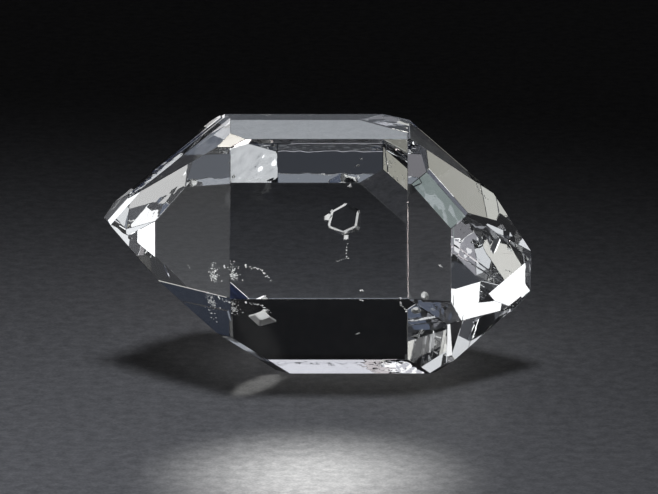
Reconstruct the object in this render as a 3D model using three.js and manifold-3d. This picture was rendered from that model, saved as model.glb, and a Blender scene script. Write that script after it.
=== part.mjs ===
// A herkimer diamond: one clear quartz crystal with a six-sided prism and a point at each end.
// Millimetres, +Z up. The long (c) axis lies along X, and the crystal rests on a prism face.
//
// Every flat face is a plane, given by three driving values:
//   around - degrees round the long axis: 0 looks to the front (-Y), 90 looks up (+Z)
//   slope  - degrees between the face's outward direction and the long axis
//   reach  - how far the plane stands from the crystal's centre, in mm
// Growth terraces and etched hollows are small flat-sided solids joined to or cut from the body.

import * as THREE from 'three';
import { ConvexGeometry } from 'three/addons/geometries/ConvexGeometry.js';
import { mergeVertices } from 'three/addons/utils/BufferGeometryUtils.js';
import Module from 'manifold-3d';

const wasm = await Module();
wasm.setup();

// ---- driving dimensions -------------------------------------------------------------------

const prismSlope = 90;        // prism faces run along the long axis
const pointSlope = 51.8;      // quartz rhombohedron faces, from the long axis
const cornerSlope = 65.6;     // small lozenge faces between a point and the prism
const sideStep = 60;          // between neighbouring prism faces
const firstAround = 30;       // the face that looks to the front and up

const prismReach = { frontUp: 4.20, top: 5.19, backUp: 4.73, backDown: 4.08, base: 4.69, frontDown: 5.02 };
const leftReach = { frontUp: 5.86, top: 6.64, backUp: 6.38, backDown: 6.83, base: 5.06, frontDown: 6.47 };
const rightReach = { frontUp: 5.34, top: 6.18, backUp: 5.14, backDown: 5.27, base: 6.48, frontDown: 7.00 };

const leftTopTilt = { around: 89.4, slope: 54.0 };    // this face grew a little off its exact angle
const rightBackTwin = { around: 213.6, slope: 50.8, reach: 5.41 };   // a second back face
const backBevel = { around: 240, slope: 90, reach: 4.50 };        // between back and resting faces
const lozenges = {
  leftFrontTop: { around: 75, slope: 68.2, reach: 6.40, end: -1 },
  leftBaseFront: { around: 300, slope: cornerSlope, reach: 5.79, end: -1 },
  rightBack: { around: 180, slope: cornerSlope, reach: 5.17, end: 1 },
  rightBaseFront: { around: 300, slope: cornerSlope, reach: 6.85, end: 1 },
};
const bluntTips = {
  left: { slope: 3, around: 300, reach: 9.54 },
  right: { slope: 4, around: 20, reach: 8.66 },
};

const riserLean = 35;         // a terrace's edge leans back this much from upright
const skin = 0.6;             // how deep a terrace's solid is rooted in the body

// A terrace is raised over its face; its edges lie at the given distances (mm) from the face's
// middle, in the given directions (degrees in the face, 0 = towards +X, counter-clockwise).
// Where it wraps over a neighbour, alsoRaised gives that face and its own rise.
const terraces = [
  { name: 'rim along the back of the upper left face', face: 'left.top', rise: 0.14,
    alsoRaised: { 'left.backUp': 0.44 }, edges: [[286.6, -0.85], [6, 1.55]] },
  { name: 'second rim on it', face: 'left.top', rise: 0.20,
    alsoRaised: { 'left.backUp': 0.46 }, edges: [[286.6, -1.02], [180, 2.80], [6, 1.20]] },
  { name: 'lower step of the left base', face: 'left.base', rise: 0.04, edges: [[8, -0.5], [94, -0.9]] },
  { name: 'upper step of the left base', face: 'left.base', rise: 0.08, edges: [[14, -1.4], [86, -1.6]] },
  { name: 'step low on the left front', face: 'left.frontDown', rise: 0.05, edges: [[112, 0.15], [14, 0.9]] },
  { name: 'plate under the right tip', face: 'right.base', rise: 0.07, edges: [[196, -1.9], [280, 1.5]] },
];

// A hollow is etched into its face: the same edges, with a depth below the face.
const hollows = [
  { name: 'wide hollow of the right point', face: 'right.backDown', depth: 0.20,
    edges: [[40, 0.55], [130, -0.83], [220, 0.69], [310, 1.67]] },
  { name: 'its deeper floor', face: 'right.backDown', depth: 0.38,
    edges: [[50, 0.25], [140, -0.98], [230, 0.42], [320, 1.50]] },
];

const quartz = { color: '#d9dde1', roughness: 0.04, metalness: 0.0 };

// ---- planes -------------------------------------------------------------------------------

const rad = THREE.MathUtils.degToRad;

// The outward direction of a face; end is -1 for the left point and +1 for the right one.
function outward(around, slope, end) {
  const along = end * Math.cos(rad(slope));
  const across = Math.sin(rad(slope));
  return new THREE.Vector3(along, -across * Math.cos(rad(around)), across * Math.sin(rad(around)));
}

function crystalFaces() {
  const faces = {};
  Object.keys(prismReach).forEach((side, step) => {
    const around = firstAround + sideStep * step;
    faces['prism.' + side] = { normal: outward(around, prismSlope, 1), reach: prismReach[side] };
    const left = side === 'top' ? leftTopTilt : { around, slope: pointSlope };
    faces['left.' + side] = { normal: outward(left.around, left.slope, -1), reach: leftReach[side] };
    faces['right.' + side] = { normal: outward(around, pointSlope, 1), reach: rightReach[side] };
  });
  const { around, slope, reach } = rightBackTwin;
  faces['right.backTwin'] = { normal: outward(around, slope, 1), reach };
  faces.bevel = { normal: outward(backBevel.around, backBevel.slope, 1), reach: backBevel.reach };
  for (const [name, face] of Object.entries(lozenges)) {
    faces['lozenge.' + name] = { normal: outward(face.around, face.slope, face.end), reach: face.reach };
  }
  const { left, right } = bluntTips;
  faces['tip.left'] = { normal: outward(left.around, left.slope, -1), reach: left.reach };
  faces['tip.right'] = { normal: outward(right.around, right.slope, 1), reach: right.reach };
  return faces;
}

// ---- solids -------------------------------------------------------------------------------

// The corners of the space inside all planes: every meeting point of three that lies in it.
function cornersInside(planes) {
  const corners = [];
  const tolerance = 1e-7;
  for (let i = 0; i < planes.length; i++) {
    for (let j = i + 1; j < planes.length; j++) {
      for (let k = j + 1; k < planes.length; k++) {
        const corner = meetingPoint(planes[i], planes[j], planes[k]);
        if (corner && planes.every((p) => p.normal.dot(corner) <= p.reach + tolerance)) corners.push(corner);
      }
    }
  }
  return corners;
}

function meetingPoint(a, b, c) {
  const bc = b.normal.clone().cross(c.normal);
  const volume = a.normal.dot(bc);
  if (Math.abs(volume) < 1e-6) return null;
  const ca = c.normal.clone().cross(a.normal);
  const ab = a.normal.clone().cross(b.normal);
  const weighted = bc.multiplyScalar(a.reach).addScaledVector(ca, b.reach).addScaledVector(ab, c.reach);
  return weighted.divideScalar(volume);
}

function toSolid(geometry) {
  const bare = geometry.clone();
  bare.deleteAttribute('normal');
  bare.deleteAttribute('uv');
  const merged = mergeVertices(bare, 1e-5);
  const mesh = new wasm.Mesh({
    numProp: 3,
    vertProperties: new Float32Array(merged.attributes.position.array),
    triVerts: new Uint32Array(merged.index.array),
  });
  return new wasm.Manifold(mesh);
}

function convexSolid(planes) {
  return toSolid(new ConvexGeometry(cornersInside(planes)));
}

// A face's middle and its two in-face directions: u leans to +X, v is a quarter turn on from it.
function faceFrame(face, corners) {
  const own = corners.filter((corner) => Math.abs(face.normal.dot(corner) - face.reach) < 1e-5);
  const middle = own.reduce((sum, corner) => sum.add(corner), new THREE.Vector3()).divideScalar(own.length);
  const u = new THREE.Vector3(1, 0, 0).addScaledVector(face.normal, -face.normal.x).normalize();
  return { middle, u, v: face.normal.clone().cross(u) };
}

// The edge planes round a terrace or hollow; lean tips them over the face (up) or away from it.
function edgePlanes(edges, face, frame, lean) {
  return edges.map(([turn, distance]) => {
    const inFace = frame.u.clone().multiplyScalar(Math.cos(rad(turn)));
    inFace.addScaledVector(frame.v, Math.sin(rad(turn)));
    const through = frame.middle.clone().addScaledVector(inFace, distance);
    const normal = inFace.multiplyScalar(Math.cos(rad(lean)));
    normal.addScaledVector(face.normal, Math.sin(rad(lean)));
    return { normal, reach: normal.dot(through) };
  });
}

function terraceSolid(terrace, faces, corners) {
  const face = faces[terrace.face];
  const rises = { ...terrace.alsoRaised, [terrace.face]: terrace.rise };
  const raised = Object.entries(faces).map(([name, own]) => {
    return { normal: own.normal, reach: own.reach + (rises[name] ?? 0) };
  });
  const root = { normal: face.normal.clone().negate(), reach: skin - face.reach };
  const edges = edgePlanes(terrace.edges, face, faceFrame(face, corners), riserLean);
  return convexSolid([...raised, root, ...edges]);
}

function hollowSolid(hollow, faces, corners) {
  const face = faces[hollow.face];
  const lid = { normal: face.normal, reach: face.reach + skin };
  const floor = { normal: face.normal.clone().negate(), reach: hollow.depth - face.reach };
  return convexSolid([lid, floor, ...edgePlanes(hollow.edges, face, faceFrame(face, corners), -riserLean)]);
}

function crystalGeometry() {
  const faces = crystalFaces();
  const planes = Object.values(faces);
  const corners = cornersInside(planes);
  let body = convexSolid(planes);
  for (const terrace of terraces) body = body.add(terraceSolid(terrace, faces, corners));
  for (const hollow of hollows) body = body.subtract(hollowSolid(hollow, faces, corners));

  const { vertProperties, triVerts } = body.getMesh();
  const geometry = new THREE.BufferGeometry();
  geometry.setAttribute('position', new THREE.BufferAttribute(new Float32Array(vertProperties), 3));
  geometry.setIndex(new THREE.BufferAttribute(new Uint32Array(triVerts), 1));
  geometry.computeBoundingBox();
  const { min, max } = geometry.boundingBox;
  geometry.translate(-(min.x + max.x) / 2, -(min.y + max.y) / 2, -min.z);
  return geometry;
}

// ---- the part -----------------------------------------------------------------------------

const material = new THREE.MeshStandardMaterial({ ...quartz, flatShading: true });
const crystal = new THREE.Mesh(crystalGeometry(), material);
crystal.name = 'crystal';

const part = new THREE.Group();
part.add(crystal);

export default part;
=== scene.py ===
# A herkimer diamond: one clear quartz crystal with a point at each end, lying on a pale table.
import bpy, bmesh, math, random
from mathutils import Matrix, Vector, noise


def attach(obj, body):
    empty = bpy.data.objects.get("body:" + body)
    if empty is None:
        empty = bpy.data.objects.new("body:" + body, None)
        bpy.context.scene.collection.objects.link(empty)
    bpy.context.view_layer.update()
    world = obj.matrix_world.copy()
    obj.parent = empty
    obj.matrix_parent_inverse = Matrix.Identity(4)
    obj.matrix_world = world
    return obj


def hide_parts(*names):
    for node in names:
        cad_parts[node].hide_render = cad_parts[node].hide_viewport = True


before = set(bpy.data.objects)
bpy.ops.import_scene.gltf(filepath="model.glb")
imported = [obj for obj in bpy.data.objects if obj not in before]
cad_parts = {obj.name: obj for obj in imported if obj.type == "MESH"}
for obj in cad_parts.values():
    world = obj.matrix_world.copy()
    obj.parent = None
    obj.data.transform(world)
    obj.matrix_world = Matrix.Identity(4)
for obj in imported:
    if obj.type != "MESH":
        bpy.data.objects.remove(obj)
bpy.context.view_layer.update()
mm = 0.001               # in metres


def hexColour(text):
    # sRGB hex to the linear values that the shaders work in
    parts = [int(text[place:place + 2], 16) / 255 for place in (1, 3, 5)]
    linear = [part / 12.92 if part <= 0.04045 else ((part + 0.055) / 1.055) ** 2.4 for part in parts]
    return (*linear, 1.0)


def addNode(tree, kind, links=None, **settings):
    # settings that name an input socket fill it, the rest are the node's own; links feed its inputs
    node = tree.nodes.new(kind)
    for name, value in settings.items():
        socket = name.replace("_", " ")
        if socket in node.inputs:
            node.inputs[socket].default_value = value
        else:
            setattr(node, name, value)
    for name, source in (links or {}).items():
        tree.links.new(source, node.inputs[name])
    return node


def newMaterial(name):
    material = bpy.data.materials.new(name)
    material.use_nodes = True
    material.node_tree.nodes.clear()
    return material, material.node_tree


def newPiece(name, mesh):
    # an object from a finished bmesh, at the origin
    data = bpy.data.meshes.new(name)
    mesh.to_mesh(data)
    mesh.free()
    piece = bpy.data.objects.new(name, data)
    bpy.context.scene.collection.objects.link(piece)
    return piece


def ease(share):
    # 0 to 1 with a soft start and end
    return share * share * (3 - 2 * share)


view = {
    "target": (0.49185, 0.11836, 4.69),    # mm
    "distance": 296.47,                    # mm
    "elevation": 15.12,                    # degrees above the table
    "lens": 382.98,                        # mm
    "sensor": 36,                          # mm wide
    "nearest": 10,                         # mm, nothing closer is drawn
}


def makeCamera():
    data = bpy.data.cameras.new("camera")
    data.lens = view["lens"]
    data.sensor_width = view["sensor"]
    data.clip_start = view["nearest"] * mm
    camera = bpy.data.objects.new("camera", data)
    bpy.context.scene.collection.objects.link(camera)
    rise = math.radians(view["elevation"])
    back = Vector((0, -math.cos(rise), math.sin(rise)))
    camera.location = (Vector(view["target"]) + back * view["distance"]) * mm
    camera.rotation_euler = back.to_track_quat("Z", "Y").to_euler()
    bpy.context.scene.camera = camera


makeCamera()
print("camera placed")

crystal = {
    "weld": 0.0005,          # mm, joins the frame's loose triangles
    "flat": 0.3,             # degrees, joins triangles that lie in one face
    "sliver": 0.006,         # mm, thinner faces are joined to their neighbours
    "edgeWidth": 0.018,      # mm, how far each worn edge is cut back
    "wornEdge": 0.7,         # mm, shorter edges stay sharp
    "wornFace": 0.35,        # mm2, edges of smaller faces stay sharp
    "wornAngle": 4,          # degrees, flatter edges stay sharp
    "planeGap": 0.03,        # mm, a face further off every grown plane, in place or tilt, is left as it is
    "flattenTurns": 60,      # how often the corners are put back, one face after another
}


def crystalMesh():
    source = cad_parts["crystal"]
    mesh = bmesh.new()
    mesh.from_mesh(source.data)
    bmesh.ops.remove_doubles(mesh, verts=mesh.verts, dist=crystal["weld"] * mm)
    joinFlat(mesh)
    joinSlivers(mesh)
    joinFlat(mesh)
    for face in mesh.faces:
        face.smooth = False
    return mesh


def joinFlat(mesh):
    bmesh.ops.dissolve_limit(mesh, angle_limit=math.radians(crystal["flat"]), verts=mesh.verts,
                             edges=mesh.edges, use_dissolve_boundaries=False)


def joinSlivers(mesh):
    # where growth terraces meet the body there are slivers far too thin to see; each joins its neighbour
    thin = thinFaces(mesh)
    while thin:
        longest = max(min(thin, key=meanWidth).edges, key=lambda edge: edge.calc_length())
        bmesh.ops.dissolve_edges(mesh, edges=[longest], use_verts=False, use_face_split=False)
        thin = thinFaces(mesh)


def thinFaces(mesh):
    return [face for face in mesh.faces if meanWidth(face) < crystal["sliver"] * mm]


def meanWidth(face):
    return 2 * face.calc_area() / face.calc_perimeter()


def wearEdges(mesh):
    # long edges between large faces are blunted by a hair, which draws them as fine bright lines
    smallest = crystal["wornFace"] * mm * mm
    worn = [edge for edge in mesh.edges if edge.calc_length() > crystal["wornEdge"] * mm
            and len(edge.link_faces) == 2 and min(face.calc_area() for face in edge.link_faces) > smallest
            and edge.calc_face_angle(0) > math.radians(crystal["wornAngle"])]
    planes = [(face.normal.copy(), face.normal.dot(face.verts[0].co)) for face in mesh.faces
              if face.calc_area() > smallest]
    bmesh.ops.bevel(mesh, geom=worn, offset=crystal["edgeWidth"] * mm, segments=1, profile=0.5,
                    affect="EDGES", clamp_overlap=False, material=-1)
    flattenFaces(mesh, planes, smallest)


def flattenFaces(mesh, planes, smallest):
    # the bevel tips a few large faces slightly, so their corners are put back on the planes they grew in
    mesh.normal_update()
    own = {}
    for face in mesh.faces:
        if face.calc_area() > smallest:
            middle = face.calc_center_median()
            gap, number = min((abs(normal.dot(middle) - reach) + mm * (1 - normal.dot(face.normal)), index)
                              for index, (normal, reach) in enumerate(planes))
            if gap < crystal["planeGap"] * mm:
                own[face] = planes[number]
    for _ in range(crystal["flattenTurns"]):
        for vert in mesh.verts:
            for normal, reach in [own[face] for face in vert.link_faces if face in own]:
                vert.co -= (vert.co.dot(normal) - reach) * normal


# Growth relief on the back and lower faces: thin layers with short slopes between them.
layering = {
    "seed": 7,
    "apart": 10,             # how far apart in the noise two faces lie
    "falloff": 0.9,          # how fast the finer octaves of the noise fade
    "finer": 2.1,            # how much finer each octave is
    "octaves": 3,
    "slopeStart": 0.3,       # where the slope up to the next layer starts, as a share of a layer
    "slopeWidth": 0.4,       # how wide that slope is, the same way
    "smallest": 0.5,         # mm2, smaller faces stay flat
    "sameWay": 0.01,         # radians, a face that looks further from the given direction stays flat
    "snap": 0.00001,         # mm, a cut this close to a corner goes through it
    "fade": 0.35,            # mm, over which the relief dies out towards the face's edges
    "held": 0.001,           # share of that fade in which points stay where they are
}
anywhere = -99               # mm, further out than any face reaches

# A face is given by around, slope and end. cell is the mesh step, grain the size of a layer along the crystal
# and across it, height the whole relief, all in mm. beyond is where the relief starts, along and across from
# the face's middle.
growthRelief = {
    "backUp": {"face": (150, 90, 1), "cell": 0.12, "grain": (0.5, 0.8),
               "height": 0.0025, "layers": 3, "beyond": (anywhere, 1.2)},
    "leftBackUp": {"face": (150, 51.8, -1), "cell": 0.11, "grain": (0.6, 0.45),
                   "height": 0.008, "layers": 4, "beyond": (1.2, -0.3)},
    "leftBase": {"face": (270, 51.8, -1), "cell": 0.13, "grain": (0.7, 0.5),
                 "height": 0.004, "layers": 3, "beyond": (3.3, anywhere)},
    "leftFrontDown": {"face": (330, 51.8, -1), "cell": 0.11, "grain": (0.5, 0.4),
                      "height": 0.030, "layers": 4, "beyond": (anywhere, anywhere)},
    "backBevel": {"face": (240, 90, 1), "cell": 0.07, "grain": (0.22, 0.4),
                  "height": 0.008, "layers": 4, "beyond": (anywhere, anywhere)},
}


def faceDirection(around, slope, end):
    # where a crystal face looks: around the long axis from the front, and its slope from that axis
    along = end * math.cos(math.radians(slope))
    across = math.sin(math.radians(slope))
    return Vector((along, -across * math.cos(math.radians(around)), across * math.sin(math.radians(around))))


def layerHeight(spot, relief, number):
    # soft noise cut into level layers, each with a short slope up to the next
    grain = relief["grain"]
    place = Vector((spot[0] / grain[0], spot[1] / grain[1], layering["apart"] * number + layering["seed"]))
    swell = noise.fractal(place, layering["falloff"], layering["finer"], layering["octaves"])
    level = (swell * 0.5 + 0.5) * relief["layers"]
    whole = math.floor(level)
    slope = min(max((level - whole - layering["slopeStart"]) / layering["slopeWidth"], 0), 1)
    return ((whole + ease(slope)) / relief["layers"] - 0.5) * relief["height"]


def addRelief(mesh, relief, number):
    outward = faceDirection(*relief["face"])
    along = (Vector((1, 0, 0)) - outward * outward.x).normalized()
    axes = (along, outward.cross(along))
    smallest = layering["smallest"] * mm * mm
    patches = [face for face in mesh.faces if face.normal.angle(outward) < layering["sameWay"]
               and face.calc_area() > smallest]
    middle = max(patches, key=lambda face: face.calc_area()).calc_center_median()
    for face in patches:
        corners = [vert.co.copy() for vert in face.verts]
        rims = [(corners[place - 1], corners[place]) for place in range(len(corners))]
        geom = [face, *face.edges, *face.verts]
        for axis in axes:
            geom = cutCells(mesh, geom, middle, axis, corners, relief["cell"])
        for vert in [item for item in geom if isinstance(item, bmesh.types.BMVert)]:
            rim = min((vert.co - closestOn(start, end, vert.co)).length for start, end in rims) / mm
            spot = [(vert.co - middle).dot(axis) / mm for axis in axes]
            beyond = relief["beyond"]
            inside = min(rim, spot[0] - beyond[0], spot[1] - beyond[1]) / layering["fade"]
            if inside > layering["held"]:
                vert.co += outward * (layerHeight(spot, relief, number) * ease(min(inside, 1)) * mm)
        smoothCells([item for item in geom if isinstance(item, bmesh.types.BMFace)])


def cutCells(mesh, geom, middle, axis, corners, cell):
    # cuts a face into strips one cell wide
    reach = [(corner - middle).dot(axis) / mm for corner in corners]
    for step in range(math.ceil(min(reach) / cell), math.ceil(max(reach) / cell)):
        cut = bmesh.ops.bisect_plane(mesh, geom=geom, dist=layering["snap"] * mm, plane_no=axis,
                                     plane_co=middle + axis * (step * cell * mm))
        geom = cut["geom"]
    return geom


def smoothCells(cells):
    # the cells are shaded as one surface, with a sharp edge against the flat faces round it
    for cell in cells:
        cell.smooth = True
    for cell in cells:
        for edge in cell.edges:
            if any(not face.smooth for face in edge.link_faces):
                edge.smooth = False


def closestOn(start, end, spot):
    whole = end - start
    share = min(max((spot - start).dot(whole) / whole.length_squared, 0), 1)
    return start + whole * share


# Flat-sided voids left in the quartz. Places and sizes are in mm. taper is how narrow the end towards the
# front is, turn is in degrees about the line of sight, and frosted is the share of a void's walls, smallest
# first, that are etched dull.
negativeCrystals = {
    "sixSided": {"at": (1.13, -1.2, 6.03), "size": (1.46, 0.34, 1.5),
                 "sides": 6, "taper": 0.93, "turn": 64, "frosted": 0.72},
    "itsGlint": {"at": (0.44, -1.5, 6.22), "size": (0.3, 0.24, 0.42),
                 "sides": 5, "taper": 0.8, "turn": 45, "frosted": 1},
    "lowGlint": {"at": (1.22, -1.5, 5.3), "size": (0.3, 0.2, 0.34),
                 "sides": 4, "taper": 0.8, "turn": 45, "frosted": 1},
    "wedge": {"at": (-2.3, -3.75, 3.0), "size": (1.3, 0.45, 1.1),
              "sides": 4, "taper": 0.5, "turn": 14, "frosted": 0.88},
    "wedgeTop": {"at": (-2.2, -3.75, 3.3), "size": (0.36, 0.3, 0.3),
                 "sides": 6, "taper": 0.5, "turn": 0, "frosted": 1},
    "upperGlint": {"at": (1.37, -1.33, 7.59), "size": (0.26, 0.2, 0.3),
                   "sides": 3, "taper": 0.3, "turn": 70, "frosted": 1},
    "rightBleb": {"at": (4.13, -3.41, 3.4), "size": (0.44, 0.3, 0.4),
                  "sides": 7, "taper": 0.5, "turn": 10, "frosted": 1},
    "besideIt": {"at": (4.84, -2.32, 4.42), "size": (0.3, 0.1, 0.12),
                 "sides": 4, "taper": 0.4, "turn": 25, "frosted": 1},
}
voidShape = {
    "lean": 20.4,            # degrees, their flat ends look up along the line of sight inside the quartz
    "rim": 0.055,            # share of their size that is cut off each edge
    "uneven": 0.24,          # how far their corners stray, as a share of their size
    "waves": 3,              # how many waves of noise that straying has across a void
}

# Trails of bubbles from one point to another, in mm. spread is how far they stray from that line, and size
# gives the smallest and the largest width.
bubbleTrails = {
    "cloud": {"from": (-3.6, -1.3, 3.9), "to": (-3.5, -1.3, 3.35),
              "spread": 0.24, "count": 110, "size": (0.02, 0.07)},
    "wispLeft": {"from": (-3.0, -1.19, 3.85), "to": (-2.41, -1.23, 3.78),
                 "spread": 0.07, "count": 14, "size": (0.03, 0.1)},
    "wispRight": {"from": (-2.41, -1.23, 3.78), "to": (-1.94, -1.49, 3.31),
                  "spread": 0.05, "count": 12, "size": (0.03, 0.1)},
    "underSixSided": {"from": (1.25, -1.6, 5.1), "to": (1.2, -2.2, 4.62),
                      "spread": 0.03, "count": 5, "size": (0.04, 0.13)},
    "arc": {"from": (0.75, -2.17, 4.45), "to": (1.35, -2.17, 4.62),
            "spread": 0.02, "count": 8, "size": (0.02, 0.05)},
    "edgeRow": {"from": (3.45, -4.75, 3.75), "to": (3.75, -4.85, 3.25),
                "spread": 0.04, "count": 9, "size": (0.04, 0.11)},
    "besideEdge": {"from": (1.8, -4.17, 3.9), "to": (1.95, -4.1, 3.85),
                   "spread": 0.04, "count": 3, "size": (0.05, 0.1)},
    "low": {"from": (1.6, -2.59, 2.1), "to": (1.75, -2.59, 2.2),
            "spread": 0.03, "count": 3, "size": (0.05, 0.1)},
    "leftLow": {"from": (-4.5, -3.4, 3.45), "to": (-3.9, -3.1, 2.6),
                "spread": 0.18, "count": 12, "size": (0.03, 0.11)},
    "leftMiddle": {"from": (-5.1, -1.8, 4.3), "to": (-5.0, -1.8, 4.1),
                   "spread": 0.05, "count": 3, "size": (0.03, 0.08)},
    "highMiddle": {"from": (1.7, -1.23, 8.0), "to": (1.8, -1.2, 7.9),
                   "spread": 0.04, "count": 3, "size": (0.03, 0.08)},
}
bubbleShape = {
    "seed": 7,
    "stray": 0.6,            # usual distance from the line, as a share of the spread
    "width": (0.7, 1.3),     # share of the drawn size
    "thickness": (0.2, 0.5),
    "lean": (27, 9),         # degrees, usual lean and how much it varies
    "uneven": 0.3,           # how far their corners stray, as a share of their size
}


def addVoid(mesh, verts, at, size, turning, uneven, frosted):
    # bends, sizes, turns and places a shape one unit wide, and turns it inside out, as a void in the quartz
    for vert in verts:
        vert.co += vert.co * (noise.noise(vert.co * voidShape["waves"] + Vector(at)) * uneven)
    bmesh.ops.scale(mesh, verts=verts, vec=Vector(size) * mm)
    bmesh.ops.rotate(mesh, verts=verts, cent=(0, 0, 0), matrix=turning)
    bmesh.ops.translate(mesh, verts=verts, vec=Vector(at) * mm)
    touching = dict.fromkeys(face for vert in verts for face in vert.link_faces)     # each once, in order
    faces = sorted(touching, key=lambda face: face.calc_area())
    for face in faces[:math.ceil(frosted * len(faces))]:
        face.material_index = 1      # the etched wall
    bmesh.ops.reverse_faces(mesh, faces=faces)


def addNegativeCrystals(mesh):
    frontward = Matrix.Rotation(math.radians(-90), 4, "X")
    leaning = Matrix.Rotation(math.radians(-voidShape["lean"]), 3, "X")
    for shape in negativeCrystals.values():
        made = bmesh.ops.create_cone(mesh, cap_ends=True, segments=shape["sides"], depth=1,
                                     radius1=0.5 * shape["taper"], radius2=0.5, matrix=frontward)
        edges = list(dict.fromkeys(edge for vert in made["verts"] for edge in vert.link_edges))
        blunt = bmesh.ops.bevel(mesh, geom=edges, offset=voidShape["rim"], segments=1, profile=0.5,
                                affect="EDGES", clamp_overlap=True, material=-1)
        turning = leaning @ Matrix.Rotation(math.radians(shape["turn"]), 3, "Y")
        addVoid(mesh, blunt["verts"], shape["at"], shape["size"], turning, voidShape["uneven"],
                shape["frosted"])


def addBubbles(mesh):
    dice = random.Random(bubbleShape["seed"])
    width = bubbleShape["width"]
    for trail in bubbleTrails.values():
        for number in range(trail["count"]):
            share = (number + 0.5) / trail["count"]
            stray = Vector([dice.gauss(0, bubbleShape["stray"]) * trail["spread"] for axis in range(3)])
            at = Vector(trail["from"]).lerp(Vector(trail["to"]), share) + stray
            size = dice.uniform(*trail["size"])
            sides = [size * dice.uniform(*part) for part in (width, width, bubbleShape["thickness"])]
            turning = Matrix.Rotation(math.radians(dice.gauss(*bubbleShape["lean"])), 3, "X")
            turning @= Matrix.Rotation(math.radians(dice.uniform(0, 360)), 3, "Z")
            made = bmesh.ops.create_icosphere(mesh, subdivisions=1, radius=0.5)
            addVoid(mesh, made["verts"], at, sides, turning, bubbleShape["uneven"], 1)


quartz = {
    "colour": "#fbfcfd",
    "bend": 1.544,               # refractive index
    "grain": 1.4,                # mm, how wide the faint swells of its faces are
    "swell": 0.0006,             # mm, how high they are
    "depthColour": "#e6ecee",    # what long paths through it turn to
    "depthDensity": 6.0,         # per metre
    "etched": "#f7f7f5",         # the void walls' white
    "etchedRough": 0.5,
    "etchedClear": 0.25,         # share of the light that still goes through an etched wall
}


def quartzMaterial():
    # Rock crystal, grown from brine and never cut: water-clear, with a hard glassy gloss, a very faint swell
    # from growth that makes reflections waver, and a little grey where the light's path is long.
    material, tree = newMaterial("rockCrystalGrown")
    place = addNode(tree, "ShaderNodeTexCoord")
    grain = addNode(tree, "ShaderNodeTexNoise", {"Vector": place.outputs["Object"]},
                    Scale=1 / (quartz["grain"] * mm), Detail=3.0)
    swell = addNode(tree, "ShaderNodeBump", {"Height": grain.outputs["Fac"]}, Strength=1.0,
                    Distance=quartz["swell"] * mm)
    surface = addNode(tree, "ShaderNodeBsdfPrincipled", {"Normal": swell.outputs["Normal"]},
                      Base_Color=hexColour(quartz["colour"]), Roughness=0.0, IOR=quartz["bend"],
                      Transmission_Weight=1.0)
    depth = addNode(tree, "ShaderNodeVolumeAbsorption", Color=hexColour(quartz["depthColour"]),
                    Density=quartz["depthDensity"])
    addNode(tree, "ShaderNodeOutputMaterial", {"Surface": surface.outputs["BSDF"],
                                               "Volume": depth.outputs["Volume"]})
    return material


def voidWallMaterial():
    # The same quartz where brine etched the walls of a void into pits too fine to draw: they scatter light,
    # so these walls look milky white.
    material, tree = newMaterial("etchedVoidWall")
    surface = addNode(tree, "ShaderNodeBsdfPrincipled", Base_Color=hexColour(quartz["etched"]),
                      Roughness=quartz["etchedRough"], IOR=quartz["bend"],
                      Transmission_Weight=quartz["etchedClear"])
    addNode(tree, "ShaderNodeOutputMaterial", {"Surface": surface.outputs["BSDF"]})
    return material


def makeCrystal():
    mesh = crystalMesh()
    wearEdges(mesh)
    print("edges worn:", len(mesh.faces), "faces")
    for number, relief in enumerate(growthRelief.values()):
        addRelief(mesh, relief, number)
    print("growth relief added:", len(mesh.faces), "faces")
    addNegativeCrystals(mesh)
    addBubbles(mesh)
    print("voids added:", len(mesh.faces), "faces")
    piece = newPiece("quartzCrystal", mesh)
    piece.data.materials.append(quartzMaterial())
    piece.data.materials.append(voidWallMaterial())
    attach(piece, "root")
    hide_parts("crystal")
    return piece


quartzCrystal = makeCrystal()
print("crystal made")

table = {
    "radius": 900,              # mm
    "sides": 96,
    "airGap": 0.02,             # mm under the crystal, so its resting face still mirrors
    "colour": "#d3d2d0",
    "darkGrain": "#a3a3a2",
    "grain": 0.12,              # mm
    "blotch": 0.5,              # mm
    "mottle": (0.7, 1.3),       # the two noises' sum that gives the darkest and the palest paint
    "bumpHeight": 0.02,         # mm
    "bumpShare": 0.5,           # of that height
    "rough": 0.45,
}


def tableMaterial():
    # A pale board with sprayed satin paint: its fine pebbled grain mottles the light. Real pebbles are about
    # 0.05 mm across, drawn at 0.12 mm so that they show.
    material, tree = newMaterial("paintedTable")
    place = addNode(tree, "ShaderNodeTexCoord")
    grain = addNode(tree, "ShaderNodeTexNoise", {"Vector": place.outputs["Object"]},
                    Scale=1 / (table["grain"] * mm), Detail=3.0, Roughness=0.6)
    blotch = addNode(tree, "ShaderNodeTexNoise", {"Vector": place.outputs["Object"]},
                     Scale=1 / (table["blotch"] * mm), Detail=2.0)
    mottle = addNode(tree, "ShaderNodeMath", {0: grain.outputs["Fac"], 1: blotch.outputs["Fac"]},
                     operation="ADD")
    shade = addNode(tree, "ShaderNodeMapRange", {"Value": mottle.outputs[0]}, From_Min=table["mottle"][0],
                    From_Max=table["mottle"][1])
    colour = addNode(tree, "ShaderNodeMix", {"Factor": shade.outputs["Result"]}, data_type="RGBA")
    colour.inputs[6].default_value = hexColour(table["darkGrain"])      # its two colour sockets
    colour.inputs[7].default_value = hexColour(table["colour"])
    bump = addNode(tree, "ShaderNodeBump", {"Height": grain.outputs["Fac"]}, Strength=table["bumpShare"],
                   Distance=table["bumpHeight"] * mm)
    surface = addNode(tree, "ShaderNodeBsdfPrincipled", {"Base Color": colour.outputs[2],
                      "Normal": bump.outputs["Normal"]}, Roughness=table["rough"])
    addNode(tree, "ShaderNodeOutputMaterial", {"Surface": surface.outputs["BSDF"]})
    return material


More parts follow.
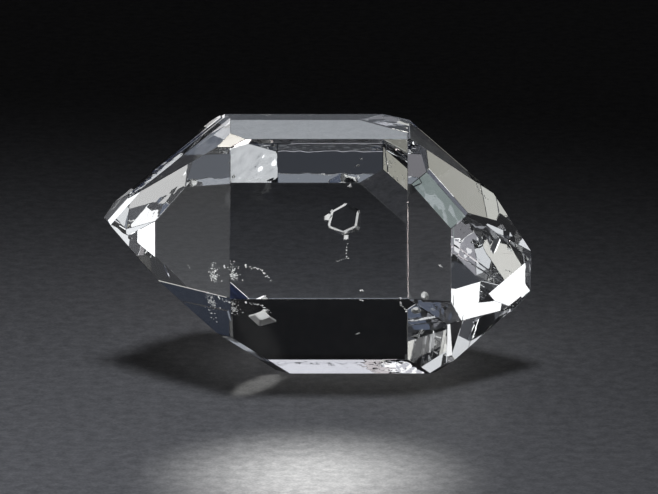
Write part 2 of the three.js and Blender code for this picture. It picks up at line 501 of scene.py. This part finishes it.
def makeTable():
    mesh = bmesh.new()
    low = Matrix.Translation((0, 0, -table["airGap"] * mm))
    bmesh.ops.create_circle(mesh, cap_ends=True, radius=table["radius"] * mm, segments=table["sides"],
                            matrix=low)
    piece = newPiece("table", mesh)
    piece.data.materials.append(tableMaterial())
    return piece


def skyDirection(around, height):
    # around is 90 behind the crystal and -90 in front of it, height is the angle above the table
    turn = math.radians(around)
    rise = math.radians(height)
    return Vector((math.cos(rise) * math.cos(turn), math.cos(rise) * math.sin(turn), math.sin(rise)))


def placeLamp(name, data, piece, aim, way, distance):
    # the lamp stands off from aim, the given way and distance, and lights this one piece
    lamp = bpy.data.objects.new(name, data)
    bpy.context.scene.collection.objects.link(lamp)
    lamp.location = (Vector(aim) + way * distance) * mm
    lamp.rotation_euler = way.to_track_quat("Z", "Y").to_euler()
    lamp.visible_camera = False
    receivers = bpy.data.collections.get(piece.name + "Light")
    if receivers is None:
        receivers = bpy.data.collections.new(piece.name + "Light")
        receivers.objects.link(piece)
    lamp.light_linking.receiver_collection = receivers
    return lamp


# Soft boxes and cards that light the crystal alone. aim, distance and size are in mm, around and height in
# degrees, and bright is how bright the lamp's face is. spread, in degrees, narrows the light of a card close
# to the crystal, which makes it stronger straight ahead.
crystalLights = {
    "overhead": {"aim": (0, 5, 6), "around": 90, "height": 75, "distance": 90,
                 "size": (44, 48), "bright": 0.78, "colour": "#f6f6ff"},
    "lowBack": {"aim": (0, 3, 8), "around": 90, "height": 15, "distance": 90,
                "size": (60, 13), "bright": 0.26, "colour": "#e9f1ff"},
    "backLeft": {"aim": (5, 2, 7.5), "around": 124, "height": 8, "distance": 100,
                 "size": (42, 18), "bright": 0.82, "colour": "#fbfdff"},
    "backRight": {"aim": (7, 1, 3), "around": 79, "height": 0.5, "distance": 60,
                  "size": (14, 6), "bright": 0.7, "colour": "#fffdf6"},
    "sideRight": {"aim": (6, 0, 7), "around": 3, "height": 8, "distance": 60,
                  "size": (36, 28), "bright": 0.3, "colour": "#f6f8ff"},
    "sideLeft": {"aim": (-6, 0, 5), "around": -172, "height": 13, "distance": 80,
                 "size": (40, 11), "bright": 0.32, "colour": "#f4f8ff"},
    "highSideLeft": {"aim": (-5, 0, 6), "around": -172, "height": 28, "distance": 80,
                     "size": (46, 34), "bright": 0.78, "colour": "#fafcff"},
    "cornerLeft": {"aim": (-5, 3, 8), "around": -146, "height": 31, "distance": 70,
                   "size": (26, 20), "bright": 0.7, "colour": "#fffdf6"},
    "cornerHigh": {"aim": (0.7, 2.2, 9.9), "around": -137, "height": 36, "distance": 70,
                   "size": (14, 12), "bright": 0.66, "colour": "#f6f6ff"},
    "warmLeft": {"aim": (-5, -4, 4.5), "around": -131, "height": -2.5, "distance": 35,
                 "size": (20, 5.6), "bright": 0.33, "colour": "#fffdee"},
    "paleLeft": {"aim": (-4, 1, 2), "around": -139, "height": 13, "distance": 60,
                 "size": (18, 12), "bright": 0.31, "colour": "#ecfffc"},
    "sunnyLeft": {"aim": (-4, -4, 3), "around": -132, "height": 24, "distance": 60,
                  "size": (14, 10), "bright": 0.56, "colour": "#fffff7"},
    "dimLeft": {"aim": (0, -5, 4), "around": -120, "height": 45, "distance": 70,
                "size": (24, 18), "bright": 0.2, "colour": "#faf7ff"},
    "dimFront": {"aim": (0, -3, 5), "around": -90, "height": 46, "distance": 80,
                 "size": (34, 16), "bright": 0.045, "colour": "#e0eaff"},
    "dimRight": {"aim": (1, -5, 4), "around": -59, "height": 42, "distance": 70,
                 "size": (20, 16), "bright": 0.09, "colour": "#dfeaff"},
    "keyHigh": {"aim": (-3, -3, 8), "around": -45, "height": 14.5, "distance": 60,
                "size": (26, 16), "bright": 1.35, "colour": "#ffffff"},
    "keyLow": {"aim": (5, -3, 5.5), "around": -52, "height": -5.3, "distance": 40,
               "size": (13, 3.4), "bright": 0.56, "colour": "#fffefc"},
    "keyMiddle": {"aim": (5, -3, 5.5), "around": -52, "height": 1.0, "distance": 40,
                  "size": (13, 5.2), "bright": 1.45, "colour": "#ffffff"},
    "lilacLow": {"aim": (-3, -5, 4.5), "around": -51, "height": -3, "distance": 40,
                 "size": (5, 4), "bright": 0.32, "colour": "#f6f5ff"},
    "cardBelow": {"aim": (-0.3, 5, 4), "around": 90, "height": -64, "distance": 3.6,
                  "size": (9.5, 3.0), "spread": 60, "bright": 0.029, "colour": "#f6fbff"},
    "cardUnderLeft": {"aim": (-5.05, -5.3, 10), "around": 0, "height": -90, "distance": 9.9,
                      "size": (1.5, 1.7), "bright": 0.6, "colour": "#fff6f8"},
    "cardBehindTip": {"aim": (-8.3, 1.3, 5.9), "around": 89, "height": 16, "distance": 20,
                      "size": (3, 3), "bright": 1.1, "colour": "#ffffff"},
    "cardFrontRight": {"aim": (5.3, -3.6, 4.2), "around": -28, "height": 0, "distance": 7,
                       "size": (3, 7.6), "bright": 0.9, "colour": "#fbfdff"},
    "dimBack": {"aim": (-3, 4, 4), "around": 60, "height": 25, "distance": 80,
                "size": (24, 16), "bright": 0.036, "colour": "#bcd2ff"},
    "cardLowBack": {"aim": (5.1, 1.5, 0.9), "around": 91.5, "height": -12, "distance": 3.4,
                    "size": (2.2, 0.8), "spread": 36, "bright": 0.015, "colour": "#eef4ff"},
    "cardBand": {"aim": (-2.1, 4.6, 4.3), "around": 35, "height": -46, "distance": 5.4,
                 "size": (3.2, 2.4), "spread": 40, "bright": 0.008, "colour": "#dce8ff"},
    "cardLeft": {"aim": (-7, 2.5, 5.4), "around": -155, "height": -8, "distance": 22,
                 "size": (12, 4), "bright": 1.8, "colour": "#ffffff"},
    "cardRight": {"aim": (8.4, -0.1, 10), "around": 0, "height": -90, "distance": 9.9,
                  "size": (2.0, 2.4), "bright": 1.1, "colour": "#ffffff"},
    "blueRight": {"aim": (11.4, 2.4, 10), "around": 0, "height": -90, "distance": 9.9,
                  "size": (4.6, 1.8), "bright": 0.11, "colour": "#bcd2ff"},
    "blueUnder": {"aim": (-3.1, -0.35, 10), "around": 0, "height": -90, "distance": 9.9,
                  "size": (1.3, 1.2), "bright": 0.1, "colour": "#bcd2ff"},
    "warmHigh": {"aim": (-5.2, -3.8, 4.1), "around": -37, "height": 36, "distance": 60,
                 "size": (10, 8), "bright": 0.33, "colour": "#fffdee"},
    "dimCorner": {"aim": (-1, -1, 7), "around": -32, "height": 47, "distance": 80,
                  "size": (46, 28), "bright": 0.06, "colour": "#8fabff"},
    "edgeGlint": {"aim": (3.8, -4.3, 5.5), "around": -41.5, "height": 36.7, "distance": 30,
                  "size": (4.5, 4.5), "bright": 9.0, "colour": "#fff4f0"},
    "glint": {"aim": (-4, -1, 10), "around": 115, "height": 34, "distance": 70,
              "size": (8, 8), "bright": 7.0, "colour": "#fffaf0"},
}


def lightCrystal(piece):
    for name, light in crystalLights.items():
        data = bpy.data.lights.new(name, "AREA")
        data.shape = "RECTANGLE"
        data.size = light["size"][0] * mm
        data.size_y = light["size"][1] * mm
        data.energy = light["bright"] * data.size * data.size_y * math.pi
        data.spread = math.radians(light.get("spread", 180))
        data.color = hexColour(light["colour"])[:3]
        way = skyDirection(light["around"], light["height"])
        placeLamp(name, data, piece, light["aim"], way, light["distance"])


voidLamp = {"aim": (0, 0, 5), "around": -110, "height": 50, "distance": 60, "size": 20, "bright": 26.0}


def lightVoids(piece, blocker):
    # the etched walls inside the crystal scatter light that has passed through its clear faces, so only the
    # table blocks this lamp, and the clear faces don't mirror or show it
    data = bpy.data.lights.new("voidLamp", "AREA")
    data.size = voidLamp["size"] * mm
    data.energy = voidLamp["bright"] * data.size ** 2 * math.pi
    way = skyDirection(voidLamp["around"], voidLamp["height"])
    lamp = placeLamp("voidLamp", data, piece, voidLamp["aim"], way, voidLamp["distance"])
    lamp.visible_glossy = False
    lamp.visible_transmission = False
    blockers = bpy.data.collections.new("voidLampBlockers")
    blockers.objects.link(blocker)
    lamp.light_linking.blocker_collection = blockers


# The table has lamps of its own: a wash that fades to the back, and two pools of light, their size given as
# width and depth on the table. blend softens a pool's edge, and soft is the radius of its lamp in mm.
tableWash = {"at": (-6, 28, 150), "aim": (-16, -36, 0), "size": 60, "spread": 42, "watts": 0.0043,
             "colour": "#edf1ff"}
tablePools = {
    "frontPool": {"aim": (-0.2, -18, 0), "around": -90, "height": 60, "distance": 150, "size": (8.5, 8),
                  "blend": 0.9, "soft": 4.0, "turn": 0, "bright": 1.22},
    "glassPool": {"aim": (-2.5, -4.6, 0), "around": -90, "height": 60, "distance": 150, "size": (1.5, 4.8),
                  "blend": 0.8, "soft": 0.2, "turn": -32, "bright": 0.12},
}


def lightTable(piece):
    data = bpy.data.lights.new("tableWash", "AREA")
    data.shape = "DISK"
    data.size = tableWash["size"] * mm
    data.spread = math.radians(tableWash["spread"])
    data.energy = tableWash["watts"]
    data.color = hexColour(tableWash["colour"])[:3]
    way = Vector(tableWash["at"]) - Vector(tableWash["aim"])
    placeLamp("tableWash", data, piece, tableWash["aim"], way.normalized(), way.length)
    for name, pool in tablePools.items():
        slant = math.sin(math.radians(pool["height"]))
        depth = pool["size"][1] * slant              # of the pool, seen from its lamp
        data = bpy.data.lights.new(name, "SPOT")
        data.spot_size = 2 * math.atan(depth / 2 / pool["distance"])
        data.spot_blend = pool["blend"]
        data.shadow_soft_size = pool["soft"] * mm
        sphere = 4 * math.pi * (pool["distance"] * mm) ** 2
        data.energy = pool["bright"] * 2 * math.pi * sphere / slant
        way = skyDirection(pool["around"], pool["height"])
        lamp = placeLamp(name, data, piece, pool["aim"], way, pool["distance"])
        lamp.scale.x = pool["size"][0] / depth
        lamp.rotation_euler.rotate_axis("Z", math.radians(pool["turn"]))


studio = {
    "colour": "#111112",        # the dark room round the table
    "turns": 20,                # how often light may turn back inside the crystal
    "spare": 4,                 # more for light that mixes mirroring and passing through
}


def makeStudio():
    world = bpy.data.worlds.new("studio")
    world.use_nodes = True
    world.node_tree.nodes["Background"].inputs["Color"].default_value = hexColour(studio["colour"])
    scene = bpy.context.scene
    scene.world = world
    scene.view_settings.view_transform = "Standard"
    scene.cycles.max_bounces = studio["turns"] + studio["spare"]
    scene.cycles.glossy_bounces = studio["turns"]
    scene.cycles.transmission_bounces = studio["turns"]


paintedTable = makeTable()
print("table made")
lightTable(paintedTable)
lightCrystal(quartzCrystal)
lightVoids(quartzCrystal, paintedTable)
makeStudio()
print("lights placed")
